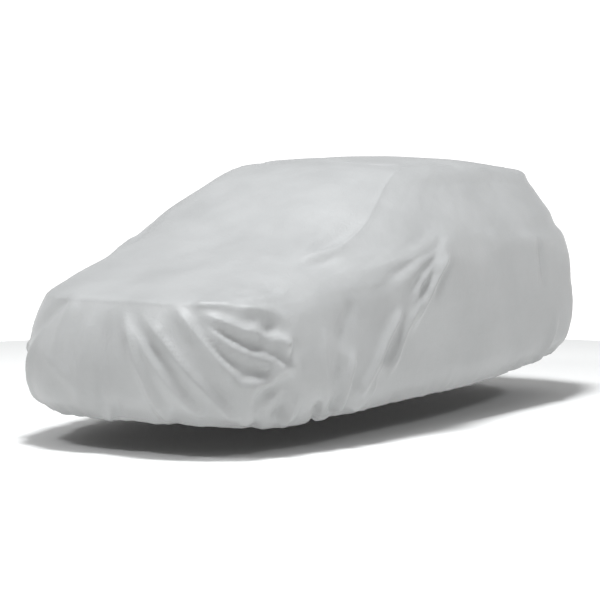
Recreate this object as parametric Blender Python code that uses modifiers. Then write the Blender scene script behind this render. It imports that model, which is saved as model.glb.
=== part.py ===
"""Fitted outdoor cover for a small five-door hatchback, in the shape it takes over the car.

It is one sheet of coated cloth, hollow underneath, and its hem is turned under and gathered.
Metres, +Z up. The nose points to -Y and the car's left-hand side to +X. The tables measure from
the ground under the middle of the car, and the finished cover is moved so that the origin is the
place on the roof that carries it.
"""
import bpy
import numpy as np

NAME = "car_cover"
CLOTH_THICKNESS = 0.002
CLOTH_COLOUR = (0.62, 0.62, 0.61, 1.0)
CARRIED_AT = (0.0, 0.85, 1.448)

# The bare form of the cover, without folds: one row for each level, hem first.
#   front, rear      how far the level reaches to -Y and to +Y
#   half             half of its width
#   middle           where along Y it is widest
#   nose, tail       how square its plan is at the ends: 2 is an ellipse, 5 nearly a box
#   z_nose to z_tail its height at the nose, front corner, mid-side, rear corner and tail
LEVEL_COLUMNS = ("front", "rear", "half", "middle", "nose", "tail",
                 "z_nose", "z_corner", "z_side", "z_back", "z_tail")
LEVELS = {
    "hem":      (-1.78, 1.93, 0.85, 0.3, 3.3, 4.4, 0.17, 0.16, 0.19, 0.262, 0.265),
    "tuck":     (-1.85, 2.00, 0.90, 0.3, 3.5, 4.6, 0.25, 0.24, 0.28, 0.34, 0.345),
    "bumper":   (-1.88, 2.04, 0.92, 0.3, 3.7, 4.8, 0.42, 0.41, 0.45, 0.48, 0.49),
    "waist":    (-1.85, 2.05, 0.91, 0.3, 3.6, 4.8, 0.61, 0.61, 0.65, 0.69, 0.70),
    "shoulder": (-1.79, 2.02, 0.89, 0.3, 3.5, 4.8, 0.755, 0.74, 0.81, 0.88, 0.91),
    "edge":     (-1.76, 1.99, 0.87, 0.3, 3.5, 4.7, 0.79, 0.78, 0.90, 0.97, 1.00),
    "bonnet":   (-1.63, 1.96, 0.84, 0.3, 3.6, 4.6, 0.83, 0.83, 0.98, 1.02, 1.05),
    "wing":     (-1.20, 1.93, 0.79, 0.4, 4.2, 4.6, 0.945, 0.93, 1.08, 1.11, 1.13),
    "cowl":     (-0.88, 1.90, 0.73, 0.5, 4.6, 4.6, 1.045, 1.03, 1.17, 1.18, 1.20),
    "screen":   (-0.47, 1.855, 0.65, 0.6, 3.9, 4.6, 1.27, 1.24, 1.29, 1.28, 1.29),
    "header":   (-0.06, 1.815, 0.56, 0.7, 4.0, 5.2, 1.42, 1.395, 1.40, 1.355, 1.355),
    "roof":     (0.09, 1.75, 0.48, 0.8, 4.0, 5.2, 1.44, 1.42, 1.42, 1.37, 1.37),
}
ROOF_CROWN = 0.02
SMALLEST_GAP = 1e-6

# How finely the sheet is divided: the skirt has twice as many posts as the part above it.
HALF_END_POSTS = 7
SIDE_POSTS = 26
SKIRT_ROWS = 7
UPPER_ROWS = 10
SKIRT_TOP = 5.0

# The main folds. Each runs on the cloth from one place to another. A place is the distance round
# the cover from the middle of its nose, positive to the left-hand side, and the level, counted
# from 0 at the hem to 11 at the roof. A positive height is a ridge and a negative one a trough.
# bow is how far its middle swings round the cover, width_0 and width_1 are half its width at its
# two ends, and it fades in and out over a share of its length.
FOLD_COLUMNS = ("round_0", "level_0", "round_1", "level_1", "bow",
                "width_0", "width_1", "height", "fade_0", "fade_1")
FOLDS = {
    # the fan over the nose, from the bonnet edge down to the gathered hem
    "fan_1":          (0.00, 4.3, 0.32, 0.1, 0.02, 0.04, 0.07, 0.030, 0.40, 0.10),
    "fan_2":          (0.10, 4.2, 0.52, 0.3, 0.02, 0.04, 0.06, 0.036, 0.35, 0.15),
    "fan_3":          (0.19, 4.1, 0.67, 0.5, 0.02, 0.04, 0.06, 0.033, 0.35, 0.20),
    "fan_4":          (0.32, 4.2, 0.78, 1.3, 0.01, 0.04, 0.05, 0.030, 0.35, 0.25),
    "fan_5":          (0.46, 4.2, 0.90, 2.0, 0.00, 0.04, 0.05, 0.027, 0.35, 0.35),
    "fan_sweep":      (0.42, 4.7, 1.05, 2.6, -0.06, 0.05, 0.07, 0.033, 0.30, 0.45),
    "fan_far":        (-0.38, 4.7, -0.68, 2.8, 0.00, 0.05, 0.08, 0.027, 0.30, 0.50),
    "fan_far_low":    (-0.30, 2.6, -0.12, 0.1, 0.00, 0.05, 0.07, -0.018, 0.50, 0.15),
    "corner_pleat":   (0.79, 1.8, 0.78, 0.0, 0.00, 0.04, 0.05, -0.026, 0.40, 0.30),
    "corner_pleat_2": (1.06, 1.6, 0.98, 0.0, 0.00, 0.04, 0.05, 0.026, 0.45, 0.30),
    "arch_pleat":     (1.23, 1.3, 1.21, 0.0, 0.00, 0.03, 0.05, -0.020, 0.50, 0.05),
    # the left-hand side, down and forward from the door mirror
    "mirror_trough":  (2.12, 7.4, 1.62, 4.2, 0.00, 0.04, 0.07, -0.024, 0.30, 0.45),
    "door_trough":    (2.16, 6.6, 1.86, 3.2, 0.00, 0.04, 0.06, -0.026, 0.30, 0.45),
    "door_ridge":     (2.29, 6.2, 1.98, 2.3, 0.00, 0.04, 0.05, 0.044, 0.30, 0.30),
    "long_ridge":     (1.92, 3.4, 1.47, 1.2, 0.00, 0.04, 0.05, 0.050, 0.30, 0.25),
    "low_ridge":      (1.76, 1.9, 1.45, 0.1, 0.00, 0.04, 0.05, 0.040, 0.30, 0.20),
    "wing_hollow":    (1.47, 4.2, 1.35, 2.3, 0.00, 0.06, 0.07, -0.028, 0.40, 0.40),
    "arch_ridge":     (1.49, 2.7, 1.33, 0.2, 0.00, 0.04, 0.05, 0.036, 0.40, 0.20),
    "back_crease":    (3.66, 5.4, 3.60, 2.6, -0.03, 0.04, 0.05, -0.018, 0.40, 0.40),
    # the roof rails and the rear pillars
    "rail_left":      (1.15, 9.8, 3.30, 9.7, 0.00, 0.04, 0.04, 0.007, 0.10, 0.10),
    "pillar_left":    (3.30, 9.7, 3.86, 6.6, 0.05, 0.04, 0.05, 0.008, 0.10, 0.30),
    "rail_right":     (-1.15, 9.8, -3.30, 9.7, 0.00, 0.04, 0.04, 0.007, 0.10, 0.10),
    "pillar_right":   (-3.30, 9.7, -3.86, 6.6, -0.05, 0.04, 0.05, 0.008, 0.10, 0.30),
    # the right-hand side
    "right_trough":   (-2.30, 6.5, -1.70, 3.2, 0.04, 0.05, 0.10, -0.036, 0.30, 0.45),
    "right_ridge":    (-2.40, 5.5, -2.05, 2.2, -0.02, 0.05, 0.07, 0.033, 0.35, 0.40),
    "right_long":     (-2.00, 3.7, -1.46, 0.5, 0.00, 0.05, 0.07, 0.039, 0.35, 0.25),
    "right_arch":     (-1.40, 3.6, -1.28, 0.1, 0.00, 0.05, 0.07, 0.030, 0.40, 0.15),
    "right_corner":   (-1.02, 2.6, -0.94, 0.1, 0.00, 0.05, 0.06, 0.027, 0.45, 0.10),
    "right_sill":     (-2.95, 2.8, -2.75, 0.1, 0.00, 0.06, 0.08, 0.024, 0.50, 0.15),
    "right_back":     (-3.62, 5.2, -3.52, 1.2, 0.02, 0.05, 0.06, -0.021, 0.40, 0.40),
    # the tail
    "tail_left":      (4.35, 5.4, 4.62, 0.1, 0.03, 0.05, 0.08, 0.033, 0.35, 0.12),
    "tail_middle":    (5.02, 4.4, 4.95, 0.1, 0.00, 0.06, 0.08, 0.021, 0.45, 0.12),
    "tail_right":     (-4.40, 5.2, -4.70, 0.1, -0.02, 0.05, 0.08, 0.030, 0.35, 0.12),
    "tail_trough":    (-4.28, 4.6, -4.36, 0.8, 0.00, 0.05, 0.07, -0.024, 0.40, 0.40),
}
FOLD_STEPS = 12

# Each door mirror holds the cloth off the body like a tent pole: how far it pushes it sideways,
# where its tip is along the car and above the ground, how far the tent reaches, how round its tip
# is and how fast it falls away. It only moves cloth that faces sideways.
MIRROR_PUSH = 0.14
MIRROR_Y = -0.24
MIRROR_Z = 1.02
TENT_AHEAD = 0.75
TENT_BEHIND = 1.10
TENT_UP = 0.38
TENT_DOWN = 0.55
TENT_ROUNDING = 0.09
TENT_FALL = 1.6
SIDE_SHARE = 2.0

# Where the hem hangs lower than its level, or is drawn up (negative): distance round the cover,
# how far along the hem it reaches and how far it drops. It fades out by the level SAG_LEVELS.
SAG_COLUMNS = ("round", "reach", "drop")
SAGS = {
    "front_left_corner": (0.94, 0.30, 0.026),
    "front_right_corner": (9.30, 0.34, -0.030),
    "left_back": (4.00, 0.35, -0.008),
    "tail": (5.30, 0.50, 0.010),
}
SAG_LEVELS = 1.6


def named(columns, row):
    """One table row as a dictionary."""
    return dict(zip(columns, row))


def ease(share):
    """A smooth step from 0 to 1."""
    share = np.clip(share, 0.0, 1.0)
    return share * share * (3.0 - 2.0 * share)


def half_ring(level, end_posts, side_posts):
    """The left half of one level, from the middle of the nose to the middle of the tail."""
    half, middle = level["half"], level["middle"]
    ahead, behind = middle - level["front"], level["rear"] - middle
    nose, tail = level["nose"], level["tail"]
    corner_front = middle - ahead * 0.5 ** (1.0 / nose)
    corner_back = middle + behind * 0.5 ** (1.0 / tail)

    out = np.arange(end_posts + 1) / end_posts
    x = half * 0.5 ** (1.0 / nose) * out
    y = middle - ahead * (1.0 - (x / half) ** nose) ** (1.0 / nose)
    z = level["z_nose"] + (level["z_corner"] - level["z_nose"]) * out ** 2
    front = np.stack([x, y, z], axis=1)

    along = np.arange(1, side_posts + 1) / side_posts
    y = corner_front + (corner_back - corner_front) * along
    reach = np.where(y < middle, ahead, behind)
    power = np.where(y < middle, nose, tail)
    x = half * (1.0 - np.abs((y - middle) / reach) ** power) ** (1.0 / power)
    first = level["z_corner"] + (level["z_side"] - level["z_corner"]) * ease(2.0 * along)
    second = level["z_side"] + (level["z_back"] - level["z_side"]) * ease(2.0 * along - 1.0)
    side = np.stack([x, y, np.where(along < 0.5, first, second)], axis=1)

    inward = 1.0 - np.arange(1, end_posts + 1) / end_posts
    x = half * 0.5 ** (1.0 / tail) * inward
    y = middle + behind * (1.0 - (x / half) ** tail) ** (1.0 / tail)
    z = level["z_tail"] + (level["z_back"] - level["z_tail"]) * inward ** 2
    return np.concatenate([front, side, np.stack([x, y, z], axis=1)])


def ring(level, end_posts, side_posts):
    """One level all the way round, from the middle of the nose by the left-hand side."""
    left = half_ring(level, end_posts, side_posts)
    right = left[1:-1][::-1] * [-1.0, 1.0, 1.0]
    return np.concatenate([left, right])


def between_levels(rings, place):
    """The cloth at a level number that may lie between two rows, on a smooth curve."""
    index = int(np.clip(place, 0, len(rings) - 2))
    before, after = rings[max(index - 1, 0)], rings[min(index + 2, len(rings) - 1)]
    low, high = rings[index], rings[index + 1]
    gaps = [np.linalg.norm(b - a, axis=1).mean() + SMALLEST_GAP
            for a, b in ((before, low), (low, high), (high, after))]
    if index == 0:
        gaps[0] = gaps[1]
        before = 2.0 * low - high
    if index + 2 > len(rings) - 1:
        gaps[2] = gaps[1]
        after = 2.0 * high - low
    slope_low = ((low - before) / gaps[0] * gaps[1] + (high - low) / gaps[1] * gaps[0]) \
        / (gaps[0] + gaps[1])
    slope_high = ((high - low) / gaps[1] * gaps[2] + (after - high) / gaps[2] * gaps[1]) \
        / (gaps[1] + gaps[2])
    t = place - index
    return (low * (2 * t ** 3 - 3 * t ** 2 + 1) + slope_low * gaps[1] * (t ** 3 - 2 * t ** 2 + t)
            + high * (3 * t ** 2 - 2 * t ** 3) + slope_high * gaps[1] * (t ** 3 - t ** 2))


class BareForm:
    """The cover without folds, as a smooth surface that can be read at any place."""

    def __init__(self, end_posts, side_posts):
        self.rings = [ring(named(LEVEL_COLUMNS, row), end_posts, side_posts)
                      for row in LEVELS.values()]
        self.top = len(self.rings) - 1
        waist = self.rings[list(LEVELS).index("waist")]
        steps = np.linalg.norm(np.roll(waist, -1, axis=0) - waist, axis=1)
        self.round = np.concatenate([[0.0], np.cumsum(steps)])

    def row(self, place):
        """All posts of the cover at one level number."""
        return between_levels(self.rings, place)

    def at(self, distance, place):
        """The point at a distance round the cover and a level number."""
        posts = self.row(place)
        post = np.interp(distance % self.round[-1], self.round, np.arange(len(posts) + 1))
        low = int(post) % len(posts)
        share = post - int(post)
        return posts[low] * (1.0 - share) + posts[(low + 1) % len(posts)] * share


def roof_patch(rim, end_posts, side_posts):
    """The inside of the roof, stretched between the four sides of its rim and slightly crowned."""
    wide, long = 2 * end_posts, side_posts
    count = len(rim)
    front = rim[np.arange(-end_posts, end_posts + 1) % count]
    left = rim[np.arange(end_posts, end_posts + long + 1) % count]
    back = rim[np.arange(end_posts + long + wide, end_posts + long - 1, -1) % count]
    right = rim[np.arange(count - end_posts, count - end_posts - long - 1, -1) % count]
    u = np.linspace(0.0, 1.0, wide + 1)[:, None, None]
    v = np.linspace(0.0, 1.0, long + 1)[None, :, None]
    sides = (1 - u) * right[None, :, :] + u * left[None, :, :]
    ends = (1 - v) * front[:, None, :] + v * back[:, None, :]
    corners = ((1 - u) * (1 - v) * front[0] + u * (1 - v) * front[-1]
               + (1 - u) * v * back[0] + u * v * back[-1])
    patch = sides + ends - corners
    patch[:, :, 2] += ROOF_CROWN * (4 * u * (1 - u) * 4 * v * (1 - v))[:, :, 0] ** 0.5
    return patch


def sheet_faces(rows, patch_ends, patch_sides):
    """Points and faces of the whole sheet: a fine skirt, a coarser upper part and the roof."""
    points = np.concatenate(rows)
    starts = np.cumsum([0] + [len(row) for row in rows])
    faces = []
    for low in range(len(rows) - 1):
        high = low + 1
        count_low, count_high = len(rows[low]), len(rows[high])
        step = count_low // count_high
        for post in range(count_high):
            lower = [starts[low] + (post * step + k) % count_low for k in range(step + 1)]
            upper = [starts[high] + (post + 1) % count_high, starts[high] + post]
            faces.append(lower + upper)

    rim = rows[-1]
    patch = roof_patch(rim, patch_ends, patch_sides)
    wide, long = 2 * patch_ends, patch_sides
    grid = np.zeros((wide + 1, long + 1), dtype=int)
    inside = patch[1:-1, 1:-1].reshape(-1, 3)
    grid[1:-1, 1:-1] = len(points) + np.arange(len(inside)).reshape(wide - 1, long - 1)
    count, start = len(rim), starts[-2]
    grid[:, 0] = start + np.arange(-patch_ends, patch_ends + 1) % count
    grid[-1, :] = start + np.arange(patch_ends, patch_ends + long + 1)
    grid[:, -1] = start + np.arange(patch_ends + long + wide, patch_ends + long - 1, -1)
    grid[0, :] = start + np.arange(count - patch_ends, count - patch_ends - long - 1, -1)
    for i in range(wide):
        for j in range(long):
            faces.append([grid[i, j], grid[i + 1, j], grid[i + 1, j + 1], grid[i, j + 1]])
    return np.concatenate([points, inside]), [[int(i) for i in face] for face in faces]


def fold_lift(points, form, fold):
    """How far one fold lifts each point of the sheet off the bare form."""
    share = np.linspace(0.0, 1.0, FOLD_STEPS + 1)
    rounds = fold["round_0"] + (fold["round_1"] - fold["round_0"]) * share
    rounds += fold["bow"] * 4.0 * share * (1.0 - share)
    levels = fold["level_0"] + (fold["level_1"] - fold["level_0"]) * share
    path = np.array([form.at(r, l) for r, l in zip(rounds, levels)])

    nearest = np.full(len(points), np.inf)
    place = np.zeros(len(points))
    for step in range(FOLD_STEPS):
        start, run = path[step], path[step + 1] - path[step]
        part = np.clip((points - start) @ run / (run @ run), 0.0, 1.0)
        distance = np.linalg.norm(points - start - part[:, None] * run, axis=1)
        closer = distance < nearest
        nearest[closer] = distance[closer]
        place[closer] = (step + part[closer]) / FOLD_STEPS
    width = fold["width_0"] + (fold["width_1"] - fold["width_0"]) * place
    rise = ease(place / fold["fade_0"]) * ease((1.0 - place) / fold["fade_1"])
    return fold["height"] * rise * np.exp(-(nearest / width) ** 2)


def mirror_tent(points):
    """How far sideways the door mirrors push each point of the cloth."""
    along = points[:, 1] - MIRROR_Y
    above = points[:, 2] - MIRROR_Z
    along = along / np.where(along < 0, TENT_AHEAD, TENT_BEHIND)
    above = above / np.where(above < 0, TENT_DOWN, TENT_UP)
    away = np.sqrt(along ** 2 + above ** 2 + TENT_ROUNDING ** 2) - TENT_ROUNDING
    slack = np.clip(1.0 - away, 0.0, 1.0)
    return np.sign(points[:, 0]) * MIRROR_PUSH * slack ** TENT_FALL


def sag_drop(rounds, levels):
    """How far each post of the skirt hangs below its level."""
    drop = np.zeros(len(rounds))
    for row in SAGS.values():
        sag = named(SAG_COLUMNS, row)
        near = np.exp(-((rounds - sag["round"]) / sag["reach"]) ** 2)
        drop += sag["drop"] * near * ease(1.0 - levels / SAG_LEVELS)
    return drop


def make_cover():
    """The cover as one thin closed solid."""
    skirt = BareForm(2 * HALF_END_POSTS, 2 * SIDE_POSTS)
    upper = BareForm(HALF_END_POSTS, SIDE_POSTS)
    skirt_places = np.linspace(0.0, SKIRT_TOP, SKIRT_ROWS + 1)
    rows = [skirt.row(place) for place in skirt_places]
    rows += [upper.row(place) for place in np.linspace(SKIRT_TOP, upper.top, UPPER_ROWS + 1)[1:]]
    points, faces = sheet_faces(rows, HALF_END_POSTS, SIDE_POSTS)

    mesh = bpy.data.meshes.new(NAME)
    mesh.from_pydata(points.tolist(), [], faces)
    normals = np.zeros(len(points) * 3, dtype=np.float32)
    mesh.vertices.foreach_get("normal", normals)
    normals = normals.reshape(-1, 3)
    lift = sum(fold_lift(points, skirt, named(FOLD_COLUMNS, fold)) for fold in FOLDS.values())
    tent = mirror_tent(points) * np.clip(SIDE_SHARE * np.abs(normals[:, 0]), 0.0, 1.0)
    points = points + normals * lift[:, None]
    points[:, 0] += tent
    posts = len(rows[0])
    rounds = np.tile(skirt.round[:-1], len(skirt_places))
    points[:len(rounds), 2] -= sag_drop(rounds, np.repeat(skirt_places, posts))
    mesh.vertices.foreach_set("co", points.astype(np.float32).ravel())
    mesh.update()
    mesh.shade_smooth()

    cover = bpy.data.objects.new(NAME, mesh)
    cover.location = [-value for value in CARRIED_AT]
    thickness = cover.modifiers.new("cloth_thickness", "SOLIDIFY")
    thickness.thickness = CLOTH_THICKNESS
    thickness.offset = -1.0
    return cover


def coated_cloth():
    """Silver-grey coated polyester."""
    material = bpy.data.materials.new("coated_polyester")
    material.use_nodes = True
    shader = material.node_tree.nodes["Principled BSDF"]
    shader.inputs["Base Color"].default_value = CLOTH_COLOUR
    shader.inputs["Roughness"].default_value = 0.6
    return material


def main():
    for thing in list(bpy.data.objects):
        bpy.data.objects.remove(thing, do_unlink=True)
    collection = bpy.data.collections.new("car_cover_part")
    bpy.context.scene.collection.children.link(collection)
    cover = make_cover()
    cover.data.materials.append(coated_cloth())
    collection.objects.link(cover)


main()
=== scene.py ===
"""The finished look of a fitted car cover: one coated cloth lying over a small hatchback."""
import math
import random

import bpy
import numpy as np
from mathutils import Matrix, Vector, noise


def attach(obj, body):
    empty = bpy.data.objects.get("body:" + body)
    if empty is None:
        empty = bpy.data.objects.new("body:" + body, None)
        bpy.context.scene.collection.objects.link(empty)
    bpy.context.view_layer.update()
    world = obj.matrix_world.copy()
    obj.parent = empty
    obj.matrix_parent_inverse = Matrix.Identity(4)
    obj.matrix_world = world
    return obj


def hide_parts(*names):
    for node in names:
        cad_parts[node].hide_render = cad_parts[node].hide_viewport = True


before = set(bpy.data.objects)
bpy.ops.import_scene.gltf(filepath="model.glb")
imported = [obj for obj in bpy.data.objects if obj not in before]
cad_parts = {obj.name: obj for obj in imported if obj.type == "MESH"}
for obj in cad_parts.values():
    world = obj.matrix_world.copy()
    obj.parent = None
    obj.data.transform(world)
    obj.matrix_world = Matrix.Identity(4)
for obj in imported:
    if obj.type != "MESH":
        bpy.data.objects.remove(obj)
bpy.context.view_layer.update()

CARRIED_AT = np.array((0.0, 0.85, 1.448))
GROUND = -float(CARRIED_AT[2])
CLOTH_THICKNESS = 0.002

# ---- the bare form of the cover, without folds: one row for each level, hem first ----
LEVEL_COLUMNS = ("front", "rear", "half", "middle", "nose", "tail",
                 "z_nose", "z_corner", "z_side", "z_back", "z_tail")
LEVELS = {
    "hem":      (-1.78, 1.93, 0.85, 0.3, 3.3, 4.4, 0.17, 0.16, 0.19, 0.262, 0.265),
    "tuck":     (-1.85, 2.00, 0.90, 0.3, 3.5, 4.6, 0.25, 0.24, 0.28, 0.34, 0.345),
    "bumper":   (-1.88, 2.04, 0.92, 0.3, 3.7, 4.8, 0.42, 0.41, 0.45, 0.48, 0.49),
    "waist":    (-1.85, 2.05, 0.91, 0.3, 3.6, 4.8, 0.61, 0.61, 0.65, 0.69, 0.70),
    "shoulder": (-1.79, 2.02, 0.89, 0.3, 3.5, 4.8, 0.755, 0.74, 0.81, 0.88, 0.91),
    "edge":     (-1.76, 1.99, 0.87, 0.3, 3.5, 4.7, 0.79, 0.78, 0.90, 0.97, 1.00),
    "bonnet":   (-1.63, 1.96, 0.84, 0.3, 3.6, 4.6, 0.83, 0.83, 0.98, 1.02, 1.05),
    "wing":     (-1.20, 1.93, 0.79, 0.4, 4.2, 4.6, 0.945, 0.93, 1.08, 1.11, 1.13),
    "cowl":     (-0.88, 1.90, 0.73, 0.5, 4.6, 4.6, 1.045, 1.03, 1.17, 1.18, 1.20),
    "screen":   (-0.47, 1.855, 0.65, 0.6, 3.9, 4.6, 1.27, 1.24, 1.29, 1.28, 1.29),
    "header":   (-0.06, 1.815, 0.56, 0.7, 4.0, 5.2, 1.42, 1.395, 1.40, 1.355, 1.355),
    "roof":     (0.09, 1.75, 0.48, 0.8, 4.0, 5.2, 1.44, 1.42, 1.42, 1.37, 1.37),
}
ROOF_CROWN = 0.02
SMALLEST_GAP = 1e-6

# How finely the sheet is divided. The lower zone has twice as many posts as the upper one.
FINE_END_POSTS = 52
FINE_SIDE_POSTS = 196
FINE_TOP = 8.0
HEM_ROWS = (0.0, 0.07, 0.19, 0.24)
SKIRT_ROWS = 39
SHOULDER_ROWS = 20
UPPER_ROWS = 18
POST_CROWDING = 1.3
SKIRT_FROM = 0.4
# The way round the cover, at which a place comes back to where it started.
ROUND_LENGTH = 10.2

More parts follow.
